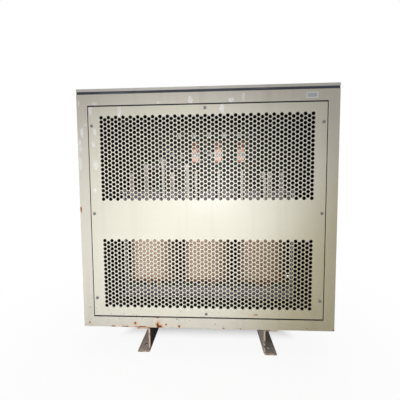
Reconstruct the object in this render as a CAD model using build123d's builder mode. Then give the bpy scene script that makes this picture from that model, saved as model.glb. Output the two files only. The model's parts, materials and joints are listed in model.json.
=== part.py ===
"""Three-phase dry-type power transformer in a ventilated sheet-steel enclosure on two channel skids.

Frame: origin on the floor under the middle of the enclosure, +X to the right of someone facing the
front, +Y towards the rear, +Z up. Lengths are in millimetres.
"""

import os
from math import pi

from build123d import *

UP = Vector(0, 0, 1)
RIGHT = Vector(1, 0, 0)
REAR = Vector(0, 1, 0)

# Enclosure frame of folded sheet
body_width = 960.0
body_depth = 600.0
frame_height = 890.0
sheet = 2.0
face_width = 40.0  # visible face of every post and rail
panel_seat = 3.0  # from the frame's face back to the lip that carries a panel
lip_width = 20.0
rail_flange = 40.0

# Panels, gasket and cover
panel_gap = 3.0  # at the sides of a panel
panel_end_gap = 5.0  # above and below a panel
gasket_height = 10.0
gasket_width = 25.0
gasket_inset = 1.0
gasket_joint = 0.5
cover_height = 10.0

# Perforation of the front panel: staggered round holes in an upper and a lower field
hole_pitch = 16.0
hole_diameter = 12.7
side_border = 43.0  # plain sheet between the panel's edge and the nearest holes
end_border = 36.0
plain_band = 148.0  # between the two fields
upper_field_share = 0.54  # of the height that both fields take together
holes_grouped = 3  # one hexagonal opening stands for a group of this many holes each way

# Skid channels of bent plate
channel_height = 100.0
channel_flange = 50.0
channel_plate = 6.0
channel_bend = 10.0
channel_spacing = 438.0  # between the backs of the two webs
anchor_hole = 14.0
anchor_setback = 40.0  # from each end of the channel

# Base plate on the channels, between the flanges of the bottom rails
plate_joint = 0.5
cable_slot_width = 434.0
cable_slot_depth = 110.0  # from the plate's front edge

# Laminated core, stepped once on limbs and yokes alike
limb_spacing = 250.0
core_width = 85.0
core_stack = 100.0
step_width = 60.0
step_stack = 64.0

# Core clamps, their pads and tie rods
pad_height = 30.0
pad_size = 36.0
clamp_height = 54.0
clamp_flange = 50.0
clamp_plate = 5.0
clamp_length = 800.0
rod_diameter = 12.0
rod_clearance = 0.3
rod_spacing = 774.0
rod_setback = 22.0  # from the core's face
nut_width = 19.0
nut_height = 10.0

# Windings, rectangular with rounded corners
coil_width = 220.0
coil_depth = 224.0
coil_wall = 18.0
coil_end_gap = 9.5  # from each end of a coil to the yoke
duct = 10.0  # all round, between a coil and the winding inside it
inner_wall = 20.0
winding_corner = 42.0
block_width = 20.0
block_offset = 22.0  # from the middle of the coil

# Leads and low-voltage bus bars, bent up from the tops of the coils
lead_width = 16.0
lead_plate = 4.0
lead_front = 114.0  # front face, ahead of the core's middle plane
lead_foot = 12.0
corner_lead_foot = 44.0  # of a lead that leaves its coil at a rounded corner
bus_foot = 54.0
lead_rise = 163.0
joined_lead_rise = 201.0
tall_lead_rise = 226.0
bus_spacing = 100.0
bus_middle = 50.0  # middle bar, right of the enclosure's middle
bus_width = 28.0
bus_plate = 6.0
bus_rise = 298.0
terminal_hole = 11.0
bus_foot_reach = 45.0  # sideways run of the right bar's foot to its coil
link_height = 18.0
link_plate = 6.0
link_overhang = 16.0  # past the middle of the first and last joined lead
link_below_top = 2.0  # from the tops of the joined leads

# Insulating support of the bus bars
post_size = 20.0
post_inset = 35.0  # from each end of a board to the middle of the nearest post
board_length = 430.0
board_height = 62.0
board_plate = 6.0
board_lift = 128.0  # from the top of the clamp to the bottom of the board
strap_length = 250.0
strap_height = 34.0
strap_plate = 12.0
strap_drop = 4.0  # from the bottom of the board to the top of the strap
tap_board_gap = 40.0  # from the top of the support board to the bottom of the tap board
tap_board_height = 32.0
head_room = 106.0  # from the top of the tap board to the top of the frame

# Levels and places worked out from the sizes above
half_width = body_width / 2
half_depth = body_depth / 2
frame_bottom = channel_height
frame_top = frame_bottom + frame_height
opening_height = frame_height - 2 * face_width
opening_middle = frame_bottom + frame_height / 2
cover_bottom = frame_top + gasket_height
clamp_bottom = channel_height + sheet + pad_height
support_rise = board_lift + board_height + tap_board_gap + tap_board_height
top_clamp_top = frame_top - head_room - support_rise
top_clamp_bottom = top_clamp_top - clamp_height
bottom_yoke_middle = clamp_bottom + clamp_height / 2
top_yoke_middle = top_clamp_bottom + clamp_height / 2
window_bottom = bottom_yoke_middle + core_width / 2
window_height = top_yoke_middle - core_width / 2 - window_bottom
coil_bottom = window_bottom + coil_end_gap
coil_height = window_height - 2 * coil_end_gap
coil_top = coil_bottom + coil_height
stack_face = core_stack / 2
limb_places = {"left": -limb_spacing, "centre": 0.0, "right": limb_spacing}

os.makedirs("parts", exist_ok=True)


def keep(part, name):
    """Labels a finished piece and writes it as a STEP file of the same name."""
    part.label = name
    export_step(part, f"parts/{name}.step")


def swept_plane(middle, across, upward, length):
    """Plane of a profile drawn across and upward, at the start of a run that has its middle there."""
    along = across.cross(upward)
    return Plane(origin=middle - along * (length / 2), x_dir=across, z_dir=along)


def channel_profile(height, flange):
    """Outer line of a channel with its web's back upright at zero and its flanges pointing across."""
    return (flange, 0), (0, 0), (0, height), (flange, height)


# Enclosure frame
def corner_post():
    """Left front post: two faces, each with a step back and a lip, notched where the rails' lips meet it."""
    notch = face_width + lip_width
    corner = Vector(-half_width, -half_depth, 0)
    with BuildPart() as post:
        with BuildSketch(Plane(corner + UP * frame_bottom)):
            with BuildLine():
                Polyline(
                    (face_width + lip_width, panel_seat),
                    (face_width, panel_seat),
                    (face_width, 0),
                    (0, 0),
                    (0, face_width),
                    (panel_seat, face_width),
                    (panel_seat, face_width + lip_width),
                )
                offset(amount=sheet, side=Side.RIGHT, kind=Kind.INTERSECTION)
            make_face()
        extrude(amount=frame_height)
        for level in (frame_bottom, frame_top - notch):
            with BuildSketch(Plane(corner + UP * level)):
                with Locations((face_width, 0)):
                    Rectangle(lip_width, face_width, align=Align.MIN)
                with Locations((0, face_width)):
                    Rectangle(face_width, lip_width, align=Align.MIN)
            extrude(amount=notch, mode=Mode.SUBTRACT)
    return post.part


def folded_rail(middle, inward, upward, length):
    """Rail between two posts: a flange, a face, a step back and the lip for a panel."""
    with BuildPart() as rail:
        with BuildSketch(swept_plane(middle, inward, upward, length)):
            with BuildLine():
                Polyline(
                    (rail_flange, 0),
                    (0, 0),
                    (0, face_width),
                    (panel_seat, face_width),
                    (panel_seat, face_width + lip_width),
                )
                offset(amount=sheet, side=Side.RIGHT, kind=Kind.INTERSECTION)
            make_face()
        extrude(amount=length)
    return rail.part


with BuildPart() as left_front_post:
    add(corner_post())
keep(left_front_post.part, "left_front_post")

with BuildPart() as right_front_post:
    mirror(left_front_post.part, about=Plane.YZ)
keep(right_front_post.part, "right_front_post")

for side, front_post in (("left", left_front_post), ("right", right_front_post)):
    with BuildPart() as rear_post:
        mirror(front_post.part, about=Plane.XZ)
    keep(rear_post.part, f"{side}_rear_post")

# Each side of the enclosure: its name, outward direction, distance from the middle and width
sides = (
    ("front", -REAR, half_depth, body_width),
    ("rear", REAR, half_depth, body_width),
    ("left", -RIGHT, half_width, body_depth),
    ("right", RIGHT, half_width, body_depth),
)

for side, outward, reach, width in sides:
    between_posts = width - 2 * face_width
    for edge, level, upward in (("bottom", frame_bottom, UP), ("top", frame_top, -UP)):
        rail = folded_rail(outward * reach + UP * level, -outward, upward, between_posts)
        keep(rail, f"{side}_{edge}_rail")


# Panels
def panel_plane(outward, reach):
    """Plane of a panel's face, looking outward, at the middle of its opening."""
    face = reach - panel_seat + sheet
    return Plane(outward * face + UP * opening_middle, x_dir=UP.cross(outward), z_dir=outward)


def perforate(field_width, field_height, middle):
    """Cuts one field of staggered hexagonal openings, with the open share of the round holes."""
    pitch = hole_pitch * holes_grouped
    column_step = pitch * 3**0.5
    flat_share = hole_diameter / hole_pitch * (pi / 12**0.5) ** 0.5
    across_flats = pitch * flat_share
    columns = round((field_width - across_flats) / column_step) + 1
    rows = round((field_height - across_flats) / pitch) + 1
    for fewer in (0, 1):
        with Locations((0, middle)):
            with GridLocations(column_step, pitch, columns - fewer, rows - fewer):
                RegularPolygon(across_flats / 2, 6, major_radius=False, mode=Mode.SUBTRACT)


panel_height = opening_height - 2 * panel_end_gap
fields_height = panel_height - 2 * end_border - plain_band
upper_field = fields_height * upper_field_share
lower_field = fields_height - upper_field

for side, outward, reach, width in sides:
    panel_width = width - 2 * (face_width + panel_gap)
    field_width = panel_width - 2 * side_border
    with BuildPart() as panel:
        with BuildSketch(panel_plane(outward, reach)):
            Rectangle(panel_width, panel_height)
            if side == "front":
                perforate(field_width, upper_field, panel_height / 2 - end_border - upper_field / 2)
                perforate(field_width, lower_field, end_border + lower_field / 2 - panel_height / 2)
        extrude(amount=-sheet)
    keep(panel.part, f"{side}_panel")

# Cover and the dark gasket that it sits on, one strip on each side
with BuildPart() as cover_gasket:
    strip_reach_x = half_width - gasket_inset - gasket_width / 2
    strip_reach_y = half_depth - gasket_inset - gasket_width / 2
    with BuildSketch(Plane.XY.offset(frame_top)):
        with GridLocations(0, 2 * strip_reach_y, 1, 2):
            Rectangle(body_width - 2 * gasket_inset, gasket_width)
        with GridLocations(2 * strip_reach_x, 0, 2, 1):
            side_strip = body_depth - 2 * (gasket_inset + gasket_width + gasket_joint)
            Rectangle(gasket_width, side_strip)
    extrude(amount=gasket_height)
keep(cover_gasket.part, "cover_gasket")

with BuildPart() as top_cover:
    with BuildSketch(Plane.XY.offset(cover_bottom)):
        Rectangle(body_width, body_depth)
    extrude(amount=cover_height)
    underside = top_cover.faces().sort_by(Axis.Z)[0]
    offset(amount=-sheet, openings=underside, kind=Kind.INTERSECTION)
keep(top_cover.part, "top_cover")

# Skid channels, with their flanges outward and two anchor holes in each lower flange
for side, outward in (("left", -RIGHT), ("right", RIGHT)):
    with BuildPart() as base_channel:
        web_back = outward * (channel_spacing / 2)
        with BuildSketch(swept_plane(web_back, outward, UP, body_depth)):
            with BuildLine():
                FilletPolyline(*channel_profile(channel_height, channel_flange), radius=channel_bend)
                offset(amount=channel_plate, side=Side.RIGHT)
            make_face()
        extrude(amount=body_depth)
        hole_place = web_back + outward * (channel_flange / 2) + UP * channel_plate
        with Locations(hole_place):
            with GridLocations(0, body_depth - 2 * anchor_setback, 1, 2):
                Hole(anchor_hole / 2, depth=channel_plate)
    keep(base_channel.part, f"{side}_base_channel")

# Base plate, with a slot for cables in its front edge
with BuildPart() as base_plate:
    plate_width = body_width - 2 * (rail_flange + plate_joint)
    plate_depth = body_depth - 2 * (rail_flange + plate_joint)
    with BuildSketch(Plane.XY.offset(channel_height)):
        Rectangle(plate_width, plate_depth)
        with Locations((0, -plate_depth / 2)):
            Rectangle(cable_slot_width, 2 * cable_slot_depth, mode=Mode.SUBTRACT)
    extrude(amount=sheet)
keep(base_plate.part, "base_plate")

# Core: limbs and yokes share one stepped section
for place, x in limb_places.items():
    with BuildPart() as limb:
        with BuildSketch(Plane(Vector(x, 0, window_bottom))):
            Rectangle(core_width, step_stack)
            Rectangle(step_width, core_stack)
        extrude(amount=window_height)
    keep(limb.part, f"{place}_limb")

for edge, middle in (("bottom", bottom_yoke_middle), ("top", top_yoke_middle)):
    yoke_length = 2 * limb_spacing + core_width
    with BuildPart() as yoke:
        with BuildSketch(swept_plane(UP * middle, REAR, UP, yoke_length)):
            Rectangle(step_stack, core_width)
            Rectangle(core_stack, step_width)
        extrude(amount=yoke_length)
    keep(yoke.part, f"{edge}_yoke")

# Clamps along both faces of each yoke, drilled at their ends for the tie rods
for edge, bottom in (("bottom", clamp_bottom), ("top", top_clamp_bottom)):
    for face, outward in (("front", -REAR), ("rear", REAR)):
        with BuildPart() as clamp:
            web_back = outward * stack_face + UP * bottom
            with BuildSketch(swept_plane(web_back, outward, UP, clamp_length)):
                with BuildLine():
                    Polyline(*channel_profile(clamp_height, clamp_flange))
                    offset(amount=clamp_plate, side=Side.RIGHT, kind=Kind.INTERSECTION)
                make_face()
            extrude(amount=clamp_length)
            with Locations(outward * (stack_face + rod_setback) + UP * (bottom + clamp_height)):
                with GridLocations(rod_spacing, 0, 2, 1):
                    Hole(rod_diameter / 2 + rod_clearance, depth=clamp_height)
        keep(clamp.part, f"{edge}_{face}_clamp")

rod_grid = GridLocations(rod_spacing, 2 * (stack_face + rod_setback), 2, 2)

with BuildPart() as tie_rods:
    with BuildSketch(Plane.XY.offset(clamp_bottom)):
        with rod_grid:
            Circle(rod_diameter / 2)
    extrude(amount=top_clamp_top - clamp_bottom)
    for nut_bottom in (clamp_bottom - nut_height, top_clamp_top):
        with BuildSketch(Plane.XY.offset(nut_bottom)):
            with rod_grid:
                RegularPolygon(nut_width / 2, 6, major_radius=False)
        extrude(amount=nut_height)
keep(tie_rods.part, "tie_rods")

with BuildPart() as isolation_pads:
    pad_spacing_x = channel_spacing + channel_flange
    pad_spacing_y = 2 * stack_face + clamp_flange
    with BuildSketch(Plane.XY.offset(channel_height + sheet)):
        with GridLocations(pad_spacing_x, pad_spacing_y, 2, 2):
            Rectangle(pad_size, pad_size)
    extrude(amount=pad_height)
keep(isolation_pads.part, "isolation_pads")

# Windings: on each limb an outer coil round an inner winding, with an air duct between them
winding_sizes = {"coil": (0.0, coil_wall), "inner_winding": (coil_wall + duct, inner_wall)}
for place, x in limb_places.items():
    for layer, (inset, wall) in winding_sizes.items():
        width = coil_width - 2 * inset
        depth = coil_depth - 2 * inset
        with BuildPart() as winding:
            with BuildSketch(Plane(Vector(x, 0, coil_bottom))):
                RectangleRounded(width, depth, winding_corner)
                RectangleRounded(
                    width - 2 * wall,
                    depth - 2 * wall,
                    winding_corner - wall,
                    mode=Mode.SUBTRACT,
                )
            extrude(amount=coil_height)
        keep(winding.part, f"{place}_{layer}")

# Blocks between the clamps' flanges and the ends of the windings
block_levels = {
    "lower": (clamp_bottom + clamp_height, coil_bottom),
    "upper": (coil_top, top_clamp_bottom),
}
for level, (block_bottom, block_top) in block_levels.items():
    with BuildPart() as coil_blocks:
        with BuildSketch(Plane.XY.offset(block_bottom)):
            with GridLocations(limb_spacing, 2 * stack_face + clamp_flange, 3, 2):
                with GridLocations(2 * block_offset, 0, 2, 1):
                    Rectangle(block_width, clamp_flange)
        extrude(amount=block_top - block_bottom)
    keep(coil_blocks.part, f"{level}_coil_blocks")


# Leads and bus bars
def bent_lead(x, width, plate, foot, rise):
    """Flat strap with a foot on the coil's top, bent up ahead of the upper clamp."""
    front = Vector(x, -lead_front, coil_top)
    with BuildPart() as lead:
        with BuildSketch(swept_plane(front, REAR, UP, width)):
            with BuildLine():
                Polyline((foot, 0), (0, 0), (0, rise))
                offset(amount=plate, side=Side.RIGHT, kind=Kind.INTERSECTION)
            make_face()
        extrude(amount=width)
    return lead.part


# Each lead: the coil it leaves, its place as a share of the coil's half width, its foot and its rise
coil_lead_shares = (
    ("left", -0.80, lead_foot, lead_rise),
    ("left", -0.18, lead_foot, joined_lead_rise),
    ("left", 0.50, lead_foot, tall_lead_rise),
    ("left", 0.90, corner_lead_foot, lead_rise),
    ("centre", -0.79, lead_foot, joined_lead_rise),
    ("right", -0.02, lead_foot, lead_rise),
    ("right", 0.20, lead_foot, lead_rise),
    ("right", 0.71, lead_foot, lead_rise),
)

joined_places = []
with BuildPart() as coil_leads:
    for place, width_share, foot, rise in coil_lead_shares:
        lead_x = limb_places[place] + width_share * coil_width / 2
        add(bent_lead(lead_x, lead_width, lead_plate, foot, rise))
        if rise == joined_lead_rise:
            joined_places.append(lead_x)
keep(coil_leads.part, "coil_leads")

lead_back = lead_front - lead_plate
bus_back = lead_front - bus_plate
board_bottom = top_clamp_top + board_lift
board_back = bus_back - board_plate
terminal_level = board_bottom + board_height / 2


def drill_terminals(depth, count, x):
    """Bolt holes through bars or board, level with the middle of the board."""
    with Locations(Plane((x, -lead_front, terminal_level), x_dir=RIGHT, z_dir=-REAR)):
        with GridLocations(bus_spacing, 0, count, 1):
            Hole(terminal_hole / 2, depth=depth)


for place, steps, reach in (("left", -1, 0), ("centre", 0, 0), ("right", 1, bus_foot_reach)):
    bus_x = bus_middle + steps * bus_spacing
    with BuildPart() as bus_bar:
        add(bent_lead(bus_x, bus_width, bus_plate, bus_foot, bus_rise))
        if reach:
            with BuildSketch(Plane(Vector(bus_x, -lead_front, coil_top))):
                Rectangle(bus_width / 2 + reach, bus_foot, align=Align.MIN)
            extrude(amount=bus_plate)
        drill_terminals(bus_plate, 1, bus_x)
    keep(bus_bar.part, f"{place}_bus_bar")

with BuildPart() as link_bar:
    link_top = coil_top + joined_lead_rise - link_below_top
    link_start = min(joined_places) - link_overhang
    link_length = max(joined_places) + link_overhang - link_start
    with BuildSketch(Plane(Vector(link_start, -lead_back, link_top - link_height))):
        Rectangle(link_length, link_plate, align=Align.MIN)
    extrude(amount=link_height)
keep(link_bar.part, "link_bar")

# Support of the bus bars: posts on the upper clamp, two boards on their fronts and a strap ahead of the bars
tap_board_bottom = board_bottom + board_height + tap_board_gap

with BuildPart() as support_board:
    with BuildSketch(Plane.XY.offset(board_bottom)):
        with Locations((0, -board_back)):
            Rectangle(board_length, board_plate, align=(Align.CENTER, Align.MAX))
    extrude(amount=board_height)
    drill_terminals(bus_plate + board_plate, 3, bus_middle)
keep(support_board.part, "support_board")

with BuildPart() as tap_board:
    with BuildSketch(Plane.XY.offset(tap_board_bottom)):
        with Locations((0, -board_back)):
            Rectangle(board_length, board_plate, align=(Align.CENTER, Align.MAX))
    extrude(amount=tap_board_height)
keep(tap_board.part, "tap_board")

with BuildPart() as support_posts:
    with BuildSketch(Plane.XY.offset(top_clamp_top)):
        with Locations((0, -board_back)):
            with GridLocations(board_length / 2 - post_inset, 0, 3, 1):
                Rectangle(post_size, post_size, align=(Align.CENTER, Align.MIN))
    extrude(amount=support_rise)
keep(support_posts.part, "support_posts")

with BuildPart() as bus_strap:
    with BuildSketch(Plane.XY.offset(board_bottom - strap_drop - strap_height)):
        with Locations((bus_middle, -lead_front)):
            Rectangle(strap_length, strap_plate, align=(Align.CENTER, Align.MAX))
    extrude(amount=strap_height)
keep(bus_strap.part, "bus_strap")
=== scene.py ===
"""Finished look of a dry-type power transformer in a ventilated enclosure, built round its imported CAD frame.

Laid out as an add-on: settings, finishes, one operator for each group of pieces, a sidebar panel.
Lengths are in metres. +X is to the right of someone facing the front, +Y to the rear, +Z up.
"""

import json
import math

import bpy
from mathutils import Matrix, Vector


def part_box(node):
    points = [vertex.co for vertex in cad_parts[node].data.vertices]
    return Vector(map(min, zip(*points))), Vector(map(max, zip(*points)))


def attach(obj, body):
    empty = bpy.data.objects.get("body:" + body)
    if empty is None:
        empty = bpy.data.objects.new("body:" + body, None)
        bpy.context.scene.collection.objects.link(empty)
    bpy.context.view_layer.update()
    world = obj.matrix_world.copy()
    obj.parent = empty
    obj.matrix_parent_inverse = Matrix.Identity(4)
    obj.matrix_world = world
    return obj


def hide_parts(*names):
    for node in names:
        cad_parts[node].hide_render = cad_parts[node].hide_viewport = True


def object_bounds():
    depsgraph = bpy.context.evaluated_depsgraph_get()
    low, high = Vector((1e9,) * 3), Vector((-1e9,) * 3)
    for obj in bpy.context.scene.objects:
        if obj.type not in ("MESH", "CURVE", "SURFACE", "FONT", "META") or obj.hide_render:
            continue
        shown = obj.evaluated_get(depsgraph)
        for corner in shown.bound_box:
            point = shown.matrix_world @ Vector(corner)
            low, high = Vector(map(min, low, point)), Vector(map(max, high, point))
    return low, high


bl_info = {
    "name": "Ventilated power transformer",
    "version": (1, 0, 0),
    "blender": (4, 5, 0),
    "location": "View3D > Sidebar > Transformer",
    "description": "Dresses the frame of a dry-type power transformer with its finished pieces and materials",
    "category": "Object",
}

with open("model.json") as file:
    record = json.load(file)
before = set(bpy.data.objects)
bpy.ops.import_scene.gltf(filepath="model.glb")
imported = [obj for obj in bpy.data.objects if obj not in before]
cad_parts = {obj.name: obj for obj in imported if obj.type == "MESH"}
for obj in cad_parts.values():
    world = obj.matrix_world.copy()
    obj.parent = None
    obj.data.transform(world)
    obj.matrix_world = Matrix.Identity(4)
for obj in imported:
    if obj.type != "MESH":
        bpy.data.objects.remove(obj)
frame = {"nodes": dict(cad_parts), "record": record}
CAD_BOX = [list(corner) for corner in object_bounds()]
UP = Vector((0, 0, 1))
RIGHT = Vector((1, 0, 0))
REAR = Vector((0, 1, 0))
SIDES = ("left", "centre", "right")

# Places on the enclosure
HALF_WIDTH, HALF_DEPTH, COVER_TOP = CAD_BOX[1]
FRONT_FACE = CAD_BOX[0][1]
SHEET_SKIN = 0.0015  # faces nearer to the outside than this are outer faces
COVER_SKIN = 0.001
END_SKIN = 0.0005
PLANE_EDGE = (0.0006, 0.0004)  # distances over which a mask of the faces at one level fades in
MM = 0.001
LEVEL = 0.9  # share of a normal that looks up on a level face
SCREW_TURN = 0.7  # turn of each screw past the one before it, in radians
TAP_TURN = 0.4
MOUNTS = {mount["name"]: mount for mount in frame["record"]["mounts"]}
TERMINAL_LEVEL = MOUNTS["left_terminal"]["pos_m"][2]
ANCHORS = MOUNTS["anchor_holes"]["dims"]


def display(red, green, blue):
    """Scene colour of a colour given as it shows on a screen, in steps of 255."""
    shares = (red / 255, green / 255, blue / 255)
    return tuple(s / 12.92 if s <= 0.04045 else ((s + 0.055) / 1.055) ** 2.4 for s in shares)


def length(name, default, description):
    """Length setting, in metres."""
    shown = {"unit": "LENGTH", "precision": 4}
    return bpy.props.FloatProperty(name=name, description=description, default=default, **shown)


def count(name, default, description, least=2):
    """Setting for a number of like things."""
    return bpy.props.IntProperty(name=name, description=description, default=default, min=least)


def level(name, default, description):
    """Setting for a plain number, such as a lamp's power."""
    return bpy.props.FloatProperty(name=name, description=description, default=default)


def colour(name, default, description):
    """Colour setting."""
    return bpy.props.FloatVectorProperty(
        name=name, description=description, default=default, subtype="COLOR", size=3, min=0.0, max=1.0
    )


# Settings
class GrilleSettings(bpy.types.PropertyGroup):
    """Perforation of the front panel."""

    pitch: length("Pitch", 0.016, "Distance between neighbouring holes")
    hole: length("Hole", 0.0127, "Diameter of a hole")
    # The rim is painted shade round each hole
    rim: length("Rim", 0.0010, "Width of the dirt round a hole")
    columns: count("Columns", 29, "Upright rows of main holes")
    upper_rows: count("Upper rows", 20, "Rows in the upper field")
    lower_rows: count("Lower rows", 17, "Rows in the lower field")
    upper_middle: length("Upper field", 0.208, "Middle of the upper field above the middle of the panel")
    lower_middle: length("Lower field", -0.232, "Middle of the lower field above the middle of the panel")
    hole_sides: count("Hole sides", 16, "Straight edges round a hole", 6)


class FastenerSettings(bpy.types.PropertyGroup):
    """Screws of the panels and bolts of the terminals, boards and clamps."""

    screw_head: length("Screw head", 0.0115, "Diameter of a panel screw's head")
    screw_height: length("Screw height", 0.0028, "Height of a panel screw's head")
    edge_inset: length("Edge inset", 0.012, "From a panel's edge to its screws")
    end_inset: length("End inset", 0.070, "From the ends of a panel to the nearest screws at its sides")
    terminal_bolt: length("Terminal bolt", 0.017, "Width across the flats of a terminal bolt")
    terminal_stud: length("Terminal stud", 0.006, "End of a terminal bolt past its nut")
    tap_bolt: length("Tap bolt", 0.011, "Width across the flats of a bolt on the upper board")
    tap_stud: length("Tap stud", 0.005, "End of a bolt on the upper board past its nut")
    tap_spacing: length("Tap spacing", 0.066, "Distance between the bolts on the upper board")
    tap_middle: length("Tap middle", 0.012, "Place of the middle bolt on the upper board")
    clamp_bolt: length("Clamp bolt", 0.019, "Width across the flats of a core clamp's bolt")
    clamp_stud: length("Clamp stud", 0.004, "End of a core clamp's bolt past its nut")
    clamp_web: length("Clamp web", 0.005, "Thickness of a core clamp's web")


class WrapSettings(bpy.types.PropertyGroup):
    """Tape and sleeving on the leads, bus bars and coils."""

    lap: length("Lap", 0.011, "Height of one turn of tape")
    tape: length("Tape", 0.0011, "Thickness of the tape where two turns lie on each other")
    bare_end: length("Bare end", 0.030, "Bare metal at the top of a lead")
    bus_wrap_top: length("Bus wrap top", 0.708, "Height up to which the bus bars are taped")
    collar: length("Collar", 0.013, "Height of the band round each end of a coil")
    coil_corner: length("Coil corner", 0.042, "Radius of a coil's corners")
    lead_plate: length("Lead thickness", 0.004, "Thickness of a coil lead")
    bus_plate: length("Bus bar thickness", 0.006, "Thickness of a bus bar")
    bus_width: length("Bus bar width", 0.028, "Width of a bus bar")
    cord: length("Cord", 0.010, "Width of the narrow leads on the bars")
    cord_shift: length("Cord shift", 0.003, "From the middle of a bar to the middle of its narrow lead")
    foot_room: length("Foot room", 0.012, "Bare metal above the foot of a lead")


class LabelSettings(bpy.types.PropertyGroup):
    """Blank label on the upper rail."""

    across: length("Across", 0.3825, "Middle of the label, right of the enclosure's middle")
    height: length("Height", 0.9695, "Middle of the label above the floor")
    width: length("Width", 0.041, "Width of the label")
    depth: length("Depth", 0.021, "Size of the label from its top to its bottom")
    border: length("Border", 0.0035, "Width of its pale border")
    plate: length("Plate", 0.0006, "Thickness of the label")


class PaintSettings(bpy.types.PropertyGroup):
    """Colours of the finishes."""

    panel: colour("Panel", display(236, 232, 216), "Paint of the panels")
    casing: colour("Casing", display(231, 226, 213), "Paint of the posts and rails")
    cover: colour("Cover", display(234, 231, 225), "Paint of the cover")
    # Painted shade: the darker, yellower tone laid on the paint towards the right
    yellow_shade: colour("Yellowed paint", display(206, 198, 166), "Paint that has yellowed, towards the right")
    # Painted shade: near-black tone on the faces inside the enclosure, for its dark interior
    inside: colour("Inside", display(15, 16, 22), "Dark coat inside the enclosure")
    soil: colour("Soil", display(150, 138, 112), "Film of dirt on the paint")
    residue: colour("Residue", display(252, 252, 249), "Pale dry residue on the paint")
    rust: colour("Rust", display(134, 66, 22), "Rust under broken paint")
    rust_stain: colour("Rust stain", display(222, 158, 84), "Stain round the rust")
    gasket: colour("Gasket", display(86, 92, 104), "Strip under the cover")
    skid: colour("Skid", display(150, 141, 132), "Rusted skid steel")
    coil: colour("Coil", display(255, 218, 184), "Varnished wrap of the coils")
    clamp: colour("Clamp", display(184, 176, 186), "Primer of the core clamps")
    sleeve: colour("Sleeve", display(255, 250, 238), "Sleeving of the narrow leads")
    dull_sleeve: colour("Greyer sleeve", display(206, 192, 192), "Sleeving of the greyer leads")
    copper: colour("Copper", display(252, 190, 170), "Bare copper of the bus bars")
    board: colour("Board", display(16, 16, 20), "Insulating board behind the bus bars")
    laminate: colour("Laminate", display(62, 44, 32), "Brown laminate of the supports")


class StageSettings(bpy.types.PropertyGroup):
    """Camera, floor and light."""

    camera_place: bpy.props.FloatVectorProperty(
        name="Camera",
        description="Place of the camera",
        default=(0.0305, -1.2662, 0.6587),
        subtype="TRANSLATION",
    )
    camera_turn: bpy.props.FloatVectorProperty(
        name="Turn",
        description="Turn of the camera",
        default=(math.radians(86.3), math.radians(0.424), math.radians(2.998)),
        subtype="EULER",
    )
    lens: level("Lens", 23.4, "Focal length in millimetres")
    sensor: level("Sensor", 36.0, "Width of the camera's picture in millimetres")
    floor: colour("Floor", (0.93, 0.93, 0.93), "Colour of the floor")
    floor_size: length("Floor size", 60.0, "Width of the floor")
    floor_drop: length("Floor drop", 0.0005, "Floor below the undersides of the skids")
    sky: level("Sky", 0.29, "Strength of the light from all round")
    key: level("Key", 25.0, "Power of the spot on the front, at the left")
    flash: level("Flash", 19.5, "Power of the light at the camera")
    bounce: level("Bounce", 2.0, "Power of the low light before the front")
    side: level("Sides", 20.0, "Power of the light on each side")
    back: level("Back", 44.0, "Power of the light on the rear")
    top: level("Top", 27.0, "Power of the light above")


# Spots: setting, place (the camera's if none), aim, angle in degrees and softness
SPOTS = {
    "key": ((-0.8, -2.6, 0.40), (0.06, -0.3, 0.54), 32.0, 0.35),
    "flash": (None, (-0.12, -0.3, 0.48), 80.0, 0.012),
}
# Broad lights: name, setting, place, aim and width
ENCLOSURE_MIDDLE = (0, 0, 0.5)
BROAD_LIGHTS = (
    ("bounce_light", "bounce", (-0.50, -1.0, 0.03), (-0.35, -0.3, 0.25), 0.6),
    ("left_light", "side", (-3.0, 0.3, 1.2), ENCLOSURE_MIDDLE, 2.0),
    ("right_light", "side", (3.0, 0.3, 1.2), ENCLOSURE_MIDDLE, 2.0),
    ("rear_light", "back", (0.6, 3.3, 1.3), ENCLOSURE_MIDDLE, 2.0),
    ("top_light", "top", (0.2, 0.4, 3.6), ENCLOSURE_MIDDLE, 2.0),
)

# Marks on the front, as places on the face of the enclosure and reaches across and up
RESIDUE_MARKS = (
    ((-0.463, 0.851), (0.006, 0.018)),
    ((-0.472, 0.798), (0.007, 0.030)),
    ((-0.474, 0.738), (0.006, 0.028)),
    ((-0.472, 0.958), (0.004, 0.014)),
    ((-0.449, 0.878), (0.004, 0.004)),
    ((-0.414, 0.854), (0.007, 0.013)),
    ((-0.420, 0.808), (0.007, 0.011)),
    ((-0.414, 0.731), (0.010, 0.020)),
    ((-0.421, 0.635), (0.006, 0.008)),
    ((-0.428, 0.933), (0.006, 0.018)),
    ((-0.409, 0.956), (0.010, 0.008)),
    ((-0.318, 0.925), (0.007, 0.020)),
    ((-0.170, 0.955), (0.008, 0.005)),
    ((-0.053, 0.961), (0.008, 0.014)),
    ((0.061, 0.930), (0.009, 0.016)),
    ((0.095, 0.959), (0.010, 0.009)),
    ((0.139, 0.968), (0.006, 0.014)),
)
RUST_MARKS = (
    ((-0.277, 0.116), (0.004, 0.005)),
    ((-0.188, 0.110), (0.006, 0.012)),
    ((-0.181, 0.104), (0.010, 0.006)),
    ((-0.191, 0.141), (0.010, 0.002)),
    ((-0.155, 0.113), (0.004, 0.003)),
    ((-0.106, 0.107), (0.004, 0.004)),
    ((-0.459, 0.116), (0.002, 0.003)),
    ((-0.477, 0.562), (0.003, 0.010)),
    ((-0.327, 0.141), (0.005, 0.002)),
    ((-0.362, 0.101), (0.009, 0.002)),
    ((-0.315, 0.101), (0.016, 0.002)),
    ((-0.252, 0.101), (0.026, 0.003)),
    ((0.187, 0.157), (0.007, 0.002)),
    ((0.034, 0.118), (0.002, 0.002)),
    ((0.066, 0.103), (0.004, 0.002)),
    ((0.130, 0.102), (0.004, 0.002)),
    ((0.478, 0.103), (0.002, 0.004)),
)
FAR = 100.0  # start of a search for the nearest mark, and how sharply marks end behind the face

# Leads under dark tape with a narrow pale lead on it, counted from the left
CORDED_LEADS = (2, 4, 5)

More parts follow.
